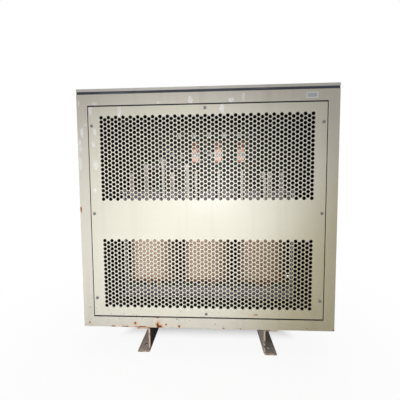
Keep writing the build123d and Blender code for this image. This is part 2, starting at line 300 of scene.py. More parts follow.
# Values that cloudy noise mostly lies between
MIDDLING = (0.3, 0.7)

# Finished materials by name, because the frame's own materials have some of these names too
FINISHES = {}


# Node trees
class Pattern:
    """Node tree under construction, with the sums that a pattern is made of."""

    def __init__(self, tree):
        self.tree = tree
        tree.nodes.clear()

    def feed(self, socket, value):
        """Joins a socket to another node's output, or sets its value."""
        if isinstance(value, bpy.types.NodeSocket):
            self.tree.links.new(value, socket)
        else:
            socket.default_value = value

    def add(self, kind, sockets=None, **settings):
        """Adds a node with its settings and inputs."""
        made = self.tree.nodes.new(f"ShaderNode{kind}")
        for name, value in settings.items():
            setattr(made, name, value)
        for name, value in (sockets or {}).items():
            self.feed(made.inputs[name], value)
        return made

    def calc(self, operation, first, second=0.0):
        """Result of one sum."""
        return self.add("Math", {0: first, 1: second}, operation=operation).outputs[0]

    def several(self, operation, values):
        """Result of a sum over several values, one after the other."""
        result = values[0]
        for value in values[1:]:
            result = self.calc(operation, result, value)
        return result

    def times(self, *values):
        """Product of values."""
        return self.several("MULTIPLY", values)

    def plus(self, *values):
        """Sum of values."""
        return self.several("ADD", values)

    def largest(self, *values):
        """Largest of values."""
        return self.several("MAXIMUM", values)

    def minus(self, first, second):
        """Difference of two values."""
        return self.calc("SUBTRACT", first, second)

    def off(self, value, middle):
        """Distance of a value from a middle."""
        return self.calc("ABSOLUTE", self.minus(value, middle))

    def span(self, value, low, high, start=0.0, end=1.0):
        """Smooth step of a value from low to high, as a number from start to end."""
        sockets = {"Value": value, "From Min": low, "From Max": high, "To Min": start, "To Max": end}
        return self.add("MapRange", sockets, interpolation_type="SMOOTHSTEP").outputs["Result"]

    def on_plane(self, value, place, share=1.0):
        """Mask of the faces that lie at a place along an axis."""
        return self.span(self.off(value, place), *PLANE_EDGE, 0.0, share)

    def vector(self, operation, *values):
        """Result of one sum on vectors."""
        return self.add("VectorMath", dict(enumerate(values)), operation=operation).outputs[0]

    def size(self, value):
        """Length of a vector."""
        return self.add("VectorMath", {0: value}, operation="LENGTH").outputs["Value"]


class Finish(Pattern):
    """Material under construction: one tone, what lies over it, and the object's own coordinates."""

    def __init__(self, name, tone, share=1.0):
        self.material = bpy.data.materials.new(name)
        self.material.use_nodes = True
        super().__init__(self.material.node_tree)
        self.shader = self.add("BsdfPrincipled")
        self.output = self.add("OutputMaterial", {"Surface": self.shader.outputs[0]})
        self.where = self.add("TexCoord").outputs["Object"]
        self.x, self.y, self.z = self.add("SeparateXYZ", {0: self.where}).outputs
        self.tone = opaque(tone, share)
        FINISHES[name] = self.material

    def noise(self, scale, detail=4.0, roughness=0.55, stretch=None):
        """Cloudy noise, about 0.5 on average, stretched by scales along each axis if they are given."""
        where = self.where
        if stretch:
            where = self.add("Mapping", {"Vector": where, "Scale": stretch}).outputs[0]
        sockets = {"Vector": where, "Scale": scale, "Detail": detail, "Roughness": roughness}
        return self.add("TexNoise", sockets).outputs["Fac"]

    def mix(self, share, first, second):
        """Mix of two colours."""
        return self.add("Mix", {0: share, 6: first, 7: second}, data_type="RGBA").outputs[2]

    def over(self, mask, tone, share=1.0):
        """Lays a tone over what is there, where a mask lets it, darkened or lightened by a share."""
        self.tone = self.mix(mask, self.tone, opaque(tone, share))

    def rough(self, cloud, smoothest, roughest):
        """Roughness between two limits by cloudy noise."""
        return self.span(cloud, *MIDDLING, smoothest, roughest)

    def shade(self, roughness, relief=None, **sockets):
        """Sets the shader's roughness, its relief by height, distance and strength, and other inputs."""
        sockets.update({"Base Color": self.tone, "Roughness": roughness})
        if relief:
            bump = self.add("Bump", dict(zip(("Height", "Distance", "Strength"), relief)))
            sockets["Normal"] = bump.outputs["Normal"]
        for name, value in sockets.items():
            self.feed(self.shader.inputs[name], value)


def opaque(tone, share=1.0):
    """Colour with its alpha, darkened or lightened by a share."""
    return tuple(min(1.0, channel * share) for channel in tone) + (1.0,)


# Finishes
def near_marks(coat, marks, ragged):
    """Distance to the nearest mark on the front, 1 at its rim, with a ragged rim."""
    cloud = coat.add("TexNoise", {"Vector": coat.where, "Scale": 90.0, "Detail": 3.0}).outputs["Color"]
    shift = coat.vector("SUBTRACT", cloud, (0.5, 0.5, 0.5))
    moved = coat.vector("MULTIPLY_ADD", shift, (ragged, 0.0, ragged), coat.where)
    nearest = FAR
    for (x, z), (across, upward) in marks:
        reach = (1 / across, FAR, 1 / upward)
        middle = (-x / across, -FRONT_FACE * FAR, -z / upward)
        sized = coat.vector("MULTIPLY_ADD", moved, reach, middle)
        nearest = coat.calc("MINIMUM", nearest, coat.size(sized))
    return nearest


def hole_rims(coat):
    """Mask of the dark rims round the holes of the front panel, painted shade at their edges, worked out from
    their staggered rows.
    """
    grille = bpy.context.scene.transformer_grille
    low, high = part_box("front_panel")
    middle = (low.z + high.z) / 2
    column = grille.pitch * math.sqrt(3)
    row = grille.pitch
    radius = grille.hole / 2
    across = coat.calc("PINGPONG", coat.x, column / 2)
    upward = coat.calc("PINGPONG", coat.minus(coat.z, middle + grille.lower_middle), row / 2)
    main = coat.add("CombineXYZ", {0: across, 1: upward}).outputs[0]
    between = coat.vector("SUBTRACT", (column / 2, row / 2, 0), main)
    beyond = coat.minus(coat.calc("ABSOLUTE", coat.x), column * (grille.columns - 1) / 2 + row / 2)
    fields = ((grille.upper_middle, grille.upper_rows), (grille.lower_middle, grille.lower_rows))
    outside = [coat.minus(coat.off(coat.z, middle + place), row * rows / 2) for place, rows in fields]
    edge = coat.largest(beyond, coat.calc("MINIMUM", *outside))
    masks = []
    for lattice, limit in ((main, 0.0), (between, -row / 2)):
        rim = coat.span(coat.size(lattice), radius + grille.rim, radius)
        masks.append(coat.times(rim, coat.calc("LESS_THAN", edge, limit)))
    return coat.times(coat.largest(*masks), coat.calc("LESS_THAN", coat.y, 0.0))


def before_coils(coat):
    """Mask of the part of the front panel that the coils are seen through."""
    sides = (0.33, 0.29)
    bottom = (0.280, 0.305)
    top = (0.50, 0.46)
    across = coat.span(coat.calc("ABSOLUTE", coat.x), *sides)
    return coat.times(across, coat.span(coat.z, *bottom), coat.span(coat.z, *top))


def inner_faces(coat):
    """Mask of the faces inside the enclosure's outer skin, which get the painted shade of the dark interior.
    """
    reaches = (HALF_WIDTH - SHEET_SKIN, HALF_DEPTH - SHEET_SKIN, COVER_TOP - COVER_SKIN)
    masks = []
    for way, reach in zip((coat.x, coat.y, coat.z), reaches):
        masks.append(coat.calc("LESS_THAN", coat.calc("ABSOLUTE", way), reach))
    return coat.times(*masks)


def weathered_paint(name, tone, yellow_shade, soil_and_shade=1.0, perforated=False, matt=0.0):
    """Semi-gloss paint with soil, residue and rust, with painted shade that makes it darker and yellower to
    the right, and a near-black painted shade inside the enclosure.
    """
    paint = bpy.context.scene.transformer_paint
    coat = Finish(name, tone)
    x, y, z = coat.x, coat.y, coat.z
    cloud = coat.noise(2.6, 3.0)
    fine = coat.noise(120.0, 3.0)
    runs = coat.noise(1.0, stretch=(22.0, 22.0, 1.3))
    behind = coat.calc("GREATER_THAN", y, FRONT_FACE + 0.004)
    # Painted shade: a darker, yellower tone towards the right, along a slant that leans to the right with
    # height, and weaker behind the front
    slant = coat.minus(x, coat.span(z, 0.20, 0.90, 0.0, 0.32))
    patchy = coat.times(coat.minus(cloud, 0.5), 0.5)
    yellow_shade_mask = coat.span(coat.plus(coat.span(slant, -0.05, 0.48), patchy), 0.0, 1.0)
    coat.over(coat.times(yellow_shade_mask, coat.span(y, FRONT_FACE, FRONT_FACE + 0.1, 1.0, 0.45)), yellow_shade)
    # Soil in specks, in streaks, and as a film near the top and the bottom; the film near the top is partly
    # dirt and partly painted shade
    coat.over(coat.span(fine, 0.62, 0.80, 0.0, 0.16), paint.soil)
    streaks = coat.span(runs, 0.50, 0.74, 0.02, 0.14 * soil_and_shade)
    upper = coat.span(z, 0.80, 1.0, 0.0, 0.12 * soil_and_shade)
    lower = coat.span(z, 0.16, 0.10, 0.0, 0.05 * soil_and_shade)
    coat.over(coat.plus(streaks, upper, lower), paint.soil, 0.9)
    # Painted shade as dark rims round the holes, weaker where the coils are seen through, so the webs there
    # stay lighter
    if perforated:
        rim_share = coat.span(before_coils(coat), 0.0, 1.0, 0.8, 0.3)
        coat.over(coat.times(hole_rims(coat), rim_share), paint.soil, 0.12)
    # Residue in marks on the front and in smears high on the other sides
    smears = coat.span(coat.noise(1.0, 3.0, stretch=(9.0, 9.0, 5.0)), 0.66, 0.70)
    smears = coat.times(smears, behind, coat.span(z, 0.45, 0.75))
    residue = coat.largest(coat.span(near_marks(coat, RESIDUE_MARKS, 0.012), 1.15, 0.75), smears)
    broken = coat.span(coat.noise(55.0), 0.36, 0.56, 0.35, 0.92)
    coat.over(coat.times(residue, broken), paint.residue)
    # Rust in marks with a stain round them, in low specks, and along the lower edges behind the front
    near_rust = near_marks(coat, RUST_MARKS, 0.010)
    stain = coat.times(coat.span(near_rust, 2.1, 0.9), coat.span(fine, 0.25, 0.6, 0.35, 0.85))
    coat.over(stain, paint.rust_stain)
    specks = coat.times(coat.span(coat.noise(75.0, 2.0), 0.70, 0.74), coat.span(z, 0.30, 0.10), 0.8)
    worn = coat.plus(coat.noise(19.0), coat.span(z, 0.125, 0.100, -0.22, 0.04))
    worn = coat.times(coat.span(worn, 0.60, 0.68), behind)
    rust = coat.largest(coat.span(near_rust, 1.1, 0.6), specks, worn)
    rust_tone = coat.mix(coat.span(fine, *MIDDLING), opaque(paint.rust), opaque(paint.rust, 0.45))
    coat.tone = coat.mix(rust, coat.tone, rust_tone)
    # Painted shade: near black on every face inside the outer skin, most of each hole's wall among them
    coat.over(inner_faces(coat), paint.inside)
    roughness = coat.plus(coat.rough(cloud, 0.36 + matt, 0.48 + matt), coat.times(rust, 0.35))
    relief = coat.plus(coat.times(coat.noise(420.0, 2.0), 0.35), rust)
    coat.shade(roughness, (relief, 0.0004, 0.5))


def gasket_rubber():
    """Dark strip with dust on it."""
    paint = bpy.context.scene.transformer_paint
    strip = Finish("gasket_rubber", paint.gasket, 0.45)
    dust = strip.noise(1.0, stretch=(9.0, 9.0, 160.0))
    strip.over(strip.span(dust, 0.42, 0.72), paint.gasket, 1.5)
    strip.shade(strip.rough(dust, 0.55, 0.8), (strip.noise(700.0, 2.0), 0.0003, 0.5))


def rusted_skid():
    """Bare mild steel: grey mill scale, brown rust, pale dust partly painted light, painted shade and light on
    the webs' inner faces; rougher where it has rusted.
    """
    paint = bpy.context.scene.transformer_paint
    skid = Finish("rusted_skid", paint.skid, 0.6)
    left_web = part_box("left_base_channel")[1].x
    right_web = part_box("right_base_channel")[0].x
    flange = 0.006
    patches = skid.noise(14.0, 6.0, 0.65)
    fine = skid.noise(160.0, 4.0, 0.65)
    spots = skid.noise(46.0, 3.0)
    runs = skid.noise(1.0, stretch=(40.0, 40.0, 5.0))
    skid.over(skid.span(patches, 0.38, 0.62), paint.skid)
    skid.over(skid.span(runs, 0.50, 0.72, 0.0, 0.45), display(86, 70, 56))
    skid.over(skid.span(fine, 0.56, 0.72, 0.0, 0.6), display(166, 152, 138))
    skid.over(skid.span(spots, 0.64, 0.70, 0.0, 0.6), display(132, 84, 50))
    # Pale tone on the lower flanges, partly dust and partly painted light, less on the right one and there
    # mostly at its front end, fading to the rear as painted shade under the enclosure
    right_flange_shading = skid.span(skid.y, FRONT_FACE, FRONT_FACE + 0.11, 0.7, 0.1)
    dust = skid.times(skid.on_plane(skid.z, flange), skid.span(fine, 0.35, 0.6, 0.55, 0.95))
    skid.over(skid.times(dust, skid.span(skid.x, -0.1, 0.1, 1.0, right_flange_shading)), display(222, 208, 196))
    # Inner faces of the webs: painted shade on the left one, painted light on the right one
    skid.over(skid.on_plane(skid.x, left_web, 0.92), paint.skid, 0.08)
    skid.over(skid.on_plane(skid.x, right_web, 0.7), display(218, 210, 198))
    # Worn pale ends
    ends = skid.span(skid.calc("ABSOLUTE", skid.y), HALF_DEPTH - SHEET_SKIN, HALF_DEPTH - END_SKIN, 0.0, 0.9)
    skid.over(skid.times(ends, skid.span(spots, 0.62, 0.5)), display(228, 200, 176))
    skid.shader.inputs["Specular IOR Level"].default_value = 0.2
    relief = skid.plus(patches, skid.times(fine, 0.6))
    skid.shade(skid.rough(fine, 0.7, 0.95), (relief, 0.0012, 0.6))


def stacked_laminations():
    """Varnished core sheets, seen as fine lines along the stack."""
    core = Finish("stacked_laminations", display(58, 57, 60))
    lines = core.noise(1.0, 2.0, stretch=(2.0, 900.0, 2.0))
    cloud = core.noise(9.0, 3.0)
    core.over(core.span(lines, 0.35, 0.65), display(98, 97, 100))
    core.over(core.span(cloud, 0.5, 0.7, 0.0, 0.5), display(84, 66, 48))
    core.shade(core.rough(cloud, 0.38, 0.55), (lines, 0.0003, 0.6), Metallic=0.5)


def clamp_primer():
    """Bluish grey primer with dust, and painted shade near the top of the lower clamps, under the coils."""
    paint = bpy.context.scene.transformer_paint
    primer = Finish("clamp_primer", paint.clamp)
    dust = primer.noise(95.0)
    primer.over(primer.span(primer.noise(11.0), 0.36, 0.66), paint.clamp, 0.72)
    primer.over(primer.span(dust, 0.56, 0.74, 0.0, 0.45), display(190, 184, 176))
    # Painted shade near the top of the lower clamps, under the coils
    from_top = primer.off(primer.z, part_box("bottom_front_clamp")[1].z)
    shadow_edge = (0.030, 0.012)
    primer.over(primer.span(from_top, *shadow_edge, 0.0, 0.7), paint.clamp, 0.15)
    primer.shade(primer.rough(dust, 0.45, 0.65), (primer.noise(380.0, 2.0), 0.0004, 0.4))


def plated_steel(name, tone, dull):
    """Plated or bare steel, dulled in places."""
    plate = Finish(name, tone)
    cloud = plate.noise(130.0)
    plate.over(plate.span(cloud, 0.4, 0.7), tone, 0.62)
    plate.shade(plate.rough(cloud, dull, dull + 0.2), (plate.noise(900.0, 2.0), 0.0002, 0.4), Metallic=0.85)


def lapped_wrap(name, tone, band=0.024):
    """Varnished tape wound in level laps, darker in the laps and at the ends of a winding, with painted shade
    at the sides of each coil and towards the right.
    """
    wrap = Finish(name, tone)
    low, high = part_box("left_coil")
    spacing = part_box("centre_coil")[0].x - low.x
    end_reach = 0.030
    wander = wrap.times(wrap.noise(6.0, 2.0), 0.006)
    turn = wrap.calc("FRACT", wrap.calc("DIVIDE", wrap.plus(wrap.z, wander), band))
    seam = wrap.span(turn, 0.10, 0.0)
    cloud = wrap.noise(13.0)
    weave = wrap.noise(1.0, 2.0, stretch=(260.0, 260.0, 900.0))
    wrap.over(wrap.span(cloud, 0.36, 0.66), tone, 0.90)
    wrap.over(wrap.span(weave, 0.5, 0.8, 0.0, 0.2), tone, 0.7)
    wrap.over(wrap.times(seam, 0.35), tone, 0.42)
    # Painted shade: darker towards the right across the coils
    wrap.over(wrap.span(wrap.x, -0.30, 0.20, 0.0, 0.66), display(160, 116, 84))
    # Painted shade at the sides of each coil: dark at its right corner, less at its left edge
    beside = wrap.minus(wrap.x, wrap.calc("SNAP", wrap.plus(wrap.x, spacing / 2), spacing))
    right_corner_shade = wrap.span(beside, 0.015, 0.095, 0.0, 0.95)
    left_corner_shade = wrap.span(beside, -0.06, -0.112, 0.0, 0.8)
    wrap.over(wrap.largest(right_corner_shade, left_corner_shade), display(92, 48, 20))
    bottom = wrap.span(wrap.z, low.z + end_reach, low.z)
    top = wrap.span(wrap.z, high.z - end_reach, high.z)
    wrap.over(wrap.times(wrap.largest(bottom, top), 0.8), display(112, 62, 30))
    relief = wrap.minus(wrap.times(weave, 0.3), seam)
    wrap.shade(wrap.rough(cloud, 0.34, 0.52), (relief, 0.0010, 0.7))


def sleeving(name, tone, soiled=0.7):
    """Woven sleeving or tape, a little soiled."""
    sleeve = Finish(name, tone)
    weave = sleeve.noise(1.0, 2.0, stretch=(700.0, 700.0, 420.0))
    soil = sleeve.noise(26.0)
    sleeve.over(sleeve.span(soil, 0.40, 0.70), tone, soiled)
    sleeve.over(sleeve.span(weave, 0.5, 0.75, 0.0, 0.4), tone, soiled - 0.1)
    sleeve.shade(sleeve.rough(soil, 0.6, 0.8), (weave, 0.0005, 0.6))


def bare_copper():
    """Copper bar: a painted highlight in a band round its bolt, browner elsewhere as tarnish and painted
    shade, and brown in spots.
    """
    paint = bpy.context.scene.transformer_paint
    bar = Finish("bare_copper", paint.copper)
    cloud = bar.noise(42.0)
    drawn = bar.noise(1.0, 2.0, stretch=(700.0, 700.0, 20.0))
    # Painted highlight: a band round the bolt keeps the bright copper tone
    highlight_reach = (0.034, 0.018)
    highlight_band = bar.span(bar.off(bar.z, TERMINAL_LEVEL), *highlight_reach)
    # Brown tarnish in spots, and away from the band partly tarnish and partly painted shade
    bar.over(bar.largest(bar.span(cloud, 0.60, 0.74), bar.minus(1.0, highlight_band)), display(128, 66, 54))
    bar.over(bar.span(drawn, 0.5, 0.8, 0.0, 0.3), paint.copper, 1.25)
    bar.shade(bar.rough(cloud, 0.30, 0.55), (drawn, 0.0002, 0.5), Metallic=0.3)


def insulating_board(name, tone, specks, fineness=75.0, speck_share=0.6):
    """Pressed or laminated board, rubber or dull coat with fibres and pale specks: dust on most boards,
    painted glints on the grey board.
    """
    board = Finish(name, tone)
    fibre = board.noise(1.0, 3.0, stretch=(60.0, 60.0, 420.0))
    dust = board.noise(fineness)
    board.over(board.span(fibre, 0.35, 0.65), tone, 0.6)
    board.over(board.span(dust, 0.55, 0.67, 0.0, speck_share), specks)
    board.shade(board.rough(dust, 0.5, 0.75), (fibre, 0.0004, 0.5))


def blank_label():
    """Blank label: a pale border round a greyer, scuffed field."""
    label = bpy.context.scene.transformer_label
    field = Finish("blank_label", display(206, 208, 212))
    scuffs = field.noise(1.0, 3.0, stretch=(60.0, 60.0, 400.0))
    field.over(field.span(scuffs, 0.45, 0.75), display(176, 180, 188))
    beyond = field.minus(field.off(field.x, label.across), label.width / 2 - label.border)
    above = field.minus(field.off(field.z, label.height), label.depth / 2 - label.border)
    field.over(field.calc("GREATER_THAN", field.largest(beyond, above), 0.0), display(248, 248, 246))
    field.shade(field.rough(scuffs, 0.3, 0.5))


def make_finishes():
    """Makes all finishes, each a material with its own name."""
    paint = bpy.context.scene.transformer_paint
    weathered_paint("panel_paint", paint.panel, paint.yellow_shade, 0.6, True)
    weathered_paint("casing_paint", paint.casing, paint.yellow_shade)
    weathered_paint("cover_paint", paint.cover, paint.cover, matt=0.25)
    gasket_rubber()
    rusted_skid()
    stacked_laminations()
    clamp_primer()
    bare_copper()
    blank_label()
    plated_steel("plated_steel", display(196, 196, 194), 0.34)
    plated_steel("rod_zinc", display(210, 212, 218), 0.6)
    plated_steel("screw_steel", display(150, 148, 146), 0.40)
    plated_steel("dull_bar", display(112, 104, 118), 0.55)
    plated_steel("tinned_strap", display(206, 192, 190), 0.42)
    lapped_wrap("coil_wrap", paint.coil)
    lapped_wrap("winding_wrap", display(196, 148, 98), 0.018)
    lapped_wrap("collar_tape", display(206, 128, 66), 0.013)
    sleeving("sleeve_glass", paint.sleeve, 0.9)
    sleeving("grey_sleeve", paint.dull_sleeve)
    sleeving("dark_tape", display(46, 42, 42))
    # Painted shade: the near-black base sheet stands for the shade at the bottom of the enclosure
    insulating_board("dark_coat", display(34, 35, 38), display(66, 64, 62))
    insulating_board("pad_rubber", display(44, 44, 46), display(96, 92, 86))
    insulating_board("block_board", display(168, 132, 92), display(206, 184, 150))
    # Painted highlights: pale specks on the near-black board stand for glints on it
    insulating_board("grey_board", paint.board, display(200, 198, 204), 40.0, 0.8)
    insulating_board("brown_laminate", paint.laminate, display(150, 108, 70))
    insulating_board("black_laminate", display(24, 24, 28), display(130, 128, 130))


# Finish of each slot of the frame that isn't named like the slot, and of nodes that have one of their own
SLOT_FINISHES = {
    "enclosure_paint": "casing_paint",
    "skid_steel": "rusted_skid",
    "base_sheet": "dark_coat",
    "core_steel": "stacked_laminations",
    "clamp_paint": "clamp_primer",
    "rod_steel": "rod_zinc",
    "lead_metal": "tinned_strap",
    "bus_copper": "bare_copper",
    "board_grey": "grey_board",
    "post_brown": "brown_laminate",
    "strap_black": "black_laminate",
}
OWN_FINISHES = {"top_cover": "cover_paint", "link_bar": "dull_bar"}


# Modelling helpers
def deselect():
    """Leaves nothing selected."""
    bpy.ops.object.select_all(action="DESELECT")


def select_only(piece):
    """Leaves one piece selected and active."""
    deselect()
    piece.select_set(True)
    bpy.context.view_layer.objects.active = piece


def edit_all():
    """Goes into edit mode with everything selected."""
    bpy.ops.object.mode_set(mode="EDIT")
    bpy.ops.mesh.select_all(action="SELECT")


def select_faces(piece, wanted):
    """Goes into edit mode with the faces selected that a test accepts."""
    bpy.ops.object.mode_set(mode="EDIT")
    bpy.ops.mesh.select_mode(type="FACE")
    bpy.ops.mesh.select_all(action="DESELECT")
    bpy.ops.object.mode_set(mode="OBJECT")
    for face in piece.data.polygons:
        face.select = wanted(face)
    bpy.ops.object.mode_set(mode="EDIT")


def leave_edit():
    """Goes back to object mode."""
    bpy.ops.object.mode_set(mode="OBJECT")


def top_faces(face):
    """Test for faces that look up."""
    return face.normal.z > LEVEL


def level_faces(face):
    """Test for faces that look up or down."""
    return abs(face.normal.z) > LEVEL


def apply_modifier(piece, name, kind, **settings):
    """Adds a modifier and applies it."""
    made = piece.modifiers.new(name, kind)
    for key, value in settings.items():
        setattr(made, key, value)
    bpy.context.view_layer.objects.active = piece
    bpy.ops.object.modifier_apply(modifier=name)


def array(piece, name, number, step):
    """Repeats a piece in a row."""
    if number > 1:
        ways = {"use_relative_offset": False, "use_constant_offset": True}
        apply_modifier(piece, name, "ARRAY", count=number, constant_offset_displace=step, **ways)


def settle(piece):
    """Puts a piece's place, turn and size into its mesh."""
    select_only(piece)
    bpy.ops.object.transform_apply(location=True, rotation=True, scale=True)


def join(pieces):
    """Joins pieces into the first."""
    select_only(pieces[0])
    for piece in pieces:
        piece.select_set(True)
    if len(pieces) > 1:
        bpy.ops.object.join()
    settle(pieces[0])
    return pieces[0]


def copies(master, places):
    """Copies of a master, each with its own mesh, at the given matrices; the master is removed."""
    made = []
    for place in places:
        twin = master.copy()
        twin.data = master.data.copy()
        twin.matrix_world = place
        bpy.context.collection.objects.link(twin)
        made.append(twin)
    bpy.data.objects.remove(master)
    bpy.context.view_layer.update()
    return join(made)


def complete(piece, name, finish, angle=30.0):
    """Names a finished piece, gives it its finish and makes it ride on the frame."""
    piece.name = name
    piece.data.name = name
    piece.data.materials.clear()
    piece.data.materials.append(FINISHES[finish])
    select_only(piece)
    bpy.ops.object.shade_smooth_by_angle(angle=math.radians(angle))
    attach(piece, "root")


def facing(place, outward, turn=0.0):
    """Matrix that puts a piece at a place, with its top pointing outward."""
    turned = outward.to_track_quat("Z", "Y").to_matrix().to_4x4()
    return Matrix.Translation(place) @ turned @ Matrix.Rotation(turn, 4, "Z")


def upright(sides, radius, bottom, height):
    """Upright prism or cylinder round the Z axis, to be shaped further."""
    deselect()
    place = (0, 0, bottom + height / 2)
    bpy.ops.mesh.primitive_cylinder_add(vertices=sides, radius=radius, depth=height, location=place)
    made = bpy.context.object
    settle(made)
    return made


def block(size, place=(0, 0, 0)):
    """Block of a size round a place, to be shaped further."""
    deselect()
    bpy.ops.mesh.primitive_cube_add(size=1, location=place)
    made = bpy.context.object
    made.scale = size
    settle(made)
    return made


def panel_screw(head, height):
    """Cross-recessed pan head, with its seat at the origin."""
    recess_length = head * 0.55
    recess_width = head * 0.13
    recess_depth = height * 0.8
    crown_steps = (0.86, 0.78)
    screw = upright(20, head / 2, 0.0, height / 2)
    select_faces(screw, top_faces)
    for share in crown_steps:
        bpy.ops.mesh.extrude_region_move(TRANSFORM_OT_translate={"value": (0, 0, height / 4)})
        bpy.ops.transform.resize(value=(share, share, 1))
    leave_edit()
    bars = []
    for quarter in (0, 1):
        bpy.ops.mesh.primitive_cube_add(size=1, location=(0, 0, height))
        bar = bpy.context.object
        bar.scale = (recess_length, recess_width, recess_depth)
        bar.rotation_euler = (0, 0, quarter * math.pi / 2)
        bars.append(bar)
    recess = join(bars)
    deselect()
    apply_modifier(screw, "recess", "BOOLEAN", operation="DIFFERENCE", object=recess, use_self=True)
    bpy.data.objects.remove(recess)
    return screw


def hex_bolt(flats, stud):
    """Hexagon head or nut on a flat washer, with the end of its stud, and its seat at the origin."""
    washer = flats * 0.12
    head = flats * 0.55
    washer_radius = flats * 0.72
    stud_radius = flats * 0.29
    head_bevel = flats * 0.06
    stud_bevel = flats * 0.05
    ring = upright(24, washer_radius, 0.0, washer)
    hexagon = upright(6, flats / math.sqrt(3), washer, head)
    end = upright(16, stud_radius, washer + head, stud)
    for piece, offset, segments in ((hexagon, head_bevel, 2), (end, stud_bevel, 1)):
        select_only(piece)
        select_faces(piece, top_faces)
        bpy.ops.mesh.bevel(offset=offset, segments=segments, affect="EDGES")
        leave_edit()
    return join([ring, hexagon, end])


def taped_length(wrap, width, depth, middle, bottom, top):
    """Lapped tape round a flat bar: tapered turns that overlap like shingles, from bottom to top."""
    tape = wrap.tape
    turns = max(1, round((top - bottom) / wrap.lap))
    height = (top - bottom) / turns
    turn = block((width + 2 * tape, depth + 2 * tape, height), (0, 0, height / 2))
    edit_all()
    bpy.ops.mesh.bevel(offset=tape * 0.9, segments=2, affect="EDGES")
    leave_edit()
    select_faces(turn, top_faces)
    narrower = [(size + tape) / (size + 2 * tape) for size in (width, depth)]
    bpy.ops.transform.resize(value=(*narrower, 1))
    leave_edit()
    array(turn, "turns", turns, (0, 0, height))
    turn.location = (middle.x, middle.y, bottom)
    settle(turn)
    return turn


def panel_places():
    """Each panel: middle of its outer face, directions across and outward, half its width and height."""
    places = []
    for side, outward in (("front", -REAR), ("rear", REAR), ("left", -RIGHT), ("right", RIGHT)):
        low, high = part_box(f"{side}_panel")
        middle = (low + high) / 2
        half = (high - low) / 2
        across = UP.cross(outward)
        face = middle + outward * abs(half.dot(outward))
        places.append((side, face, across, outward, abs(half.dot(across)), half.z))
    return places


# Operators
class TRANSFORMER_OT_finish_frame(bpy.types.Operator):
    """Gives every node of the frame its finish"""

    bl_idname = "transformer.finish_frame"
    bl_label = "Finish frame"

    def execute(self, context):
        make_finishes()
        for part in frame["record"]["subparts"]:
            node = frame["nodes"][part["node"]]
            finish = SLOT_FINISHES.get(part["material_slot"], part["material_slot"])
            if node.name.endswith("_panel"):
                finish = "panel_paint"
            finish = OWN_FINISHES.get(node.name, finish)
            node.data.materials.clear()
            node.data.materials.append(FINISHES[finish])
        return {"FINISHED"}


class TRANSFORMER_OT_punch_grille(bpy.types.Operator):
    """Makes the front panel with its two fields of staggered round holes"""

    bl_idname = "transformer.punch_grille"
    bl_label = "Punch grille"

    def ring_field(self, grille, rows, fewer, middle):
        """Outlines of one set of holes, in rows and columns."""
        across = grille.pitch * math.sqrt(3)
        deselect()
        radius = grille.hole / 2
        bpy.ops.mesh.primitive_circle_add(vertices=grille.hole_sides, radius=radius, fill_type="NOTHING")
        ring = bpy.context.object
        array(ring, "columns", grille.columns - fewer, (across, 0, 0))
        array(ring, "rows", rows - fewer, (0, grille.pitch, 0))
        ring.location.x = -(grille.columns - fewer - 1) * across / 2
        ring.location.y = middle - (rows - fewer - 1) * grille.pitch / 2
        settle(ring)
        return ring

    def execute(self, context):
        grille = context.scene.transformer_grille
        low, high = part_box("front_panel")
        deselect()
        bpy.ops.mesh.primitive_plane_add(size=1)
        sheet = context.object
        sheet.scale = (high.x - low.x, high.z - low.z, 1)
        settle(sheet)
        edit_all()
        bpy.ops.mesh.delete(type="ONLY_FACE")
        leave_edit()
        fields = ((grille.upper_rows, grille.upper_middle), (grille.lower_rows, grille.lower_middle))
        rings = [self.ring_field(grille, rows, fewer, middle) for rows, middle in fields for fewer in (0, 1)]
        sheet = join([sheet] + rings)
        edit_all()
        bpy.ops.mesh.fill(use_beauty=False)
        bpy.ops.mesh.normals_make_consistent(inside=False)
        leave_edit()
        apply_modifier(sheet, "sheet", "SOLIDIFY", thickness=high.y - low.y, offset=0.0)
        sheet.rotation_euler = (math.pi / 2, 0, 0)
        sheet.location = (low + high) / 2
        settle(sheet)
        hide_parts("front_panel")
        complete(sheet, "front_grille", "panel_paint")
        return {"FINISHED"}


class TRANSFORMER_OT_fix_screws(bpy.types.Operator):
    """Sets the screws that hold the panels to the frame"""

    bl_idname = "transformer.fix_screws"
    bl_label = "Fix panel screws"

    def execute(self, context):
        fasteners = context.scene.transformer_fasteners
        for side, face, across, outward, half_width, half_height in panel_places():
            reach = half_width - fasteners.edge_inset
            rise = half_height - fasteners.end_inset
            end = half_height - fasteners.edge_inset
            spots = [(sign * reach, z) for sign in (-1, 1) for z in (-rise, 0.0, rise)]
            spots += [(0.0, -end), (0.0, end)]
            places = []
            for index, (x, z) in enumerate(spots):
                places.append(facing(face + across * x + UP * z, outward, SCREW_TURN * index))
            screws = copies(panel_screw(fasteners.screw_head, fasteners.screw_height), places)
            complete(screws, f"{side}_panel_screws", "screw_steel")
        return {"FINISHED"}


class TRANSFORMER_OT_stick_label(bpy.types.Operator):
    """Puts the small blank label on the upper rail"""

    bl_idname = "transformer.stick_label"
    bl_label = "Stick blank label"

    def execute(self, context):
        sizes = context.scene.transformer_label
        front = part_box("front_top_rail")[0].y
        label = block((sizes.width, sizes.depth, sizes.plate))
        select_faces(label, top_faces)
        bpy.ops.mesh.inset(thickness=sizes.border, depth=-sizes.plate * 0.4)
        leave_edit()
        label.matrix_world = facing(Vector((sizes.across, front - sizes.plate / 2, sizes.height)), -REAR)
        settle(label)
        complete(label, "blank_label", "blank_label", 35.0)
        return {"FINISHED"}


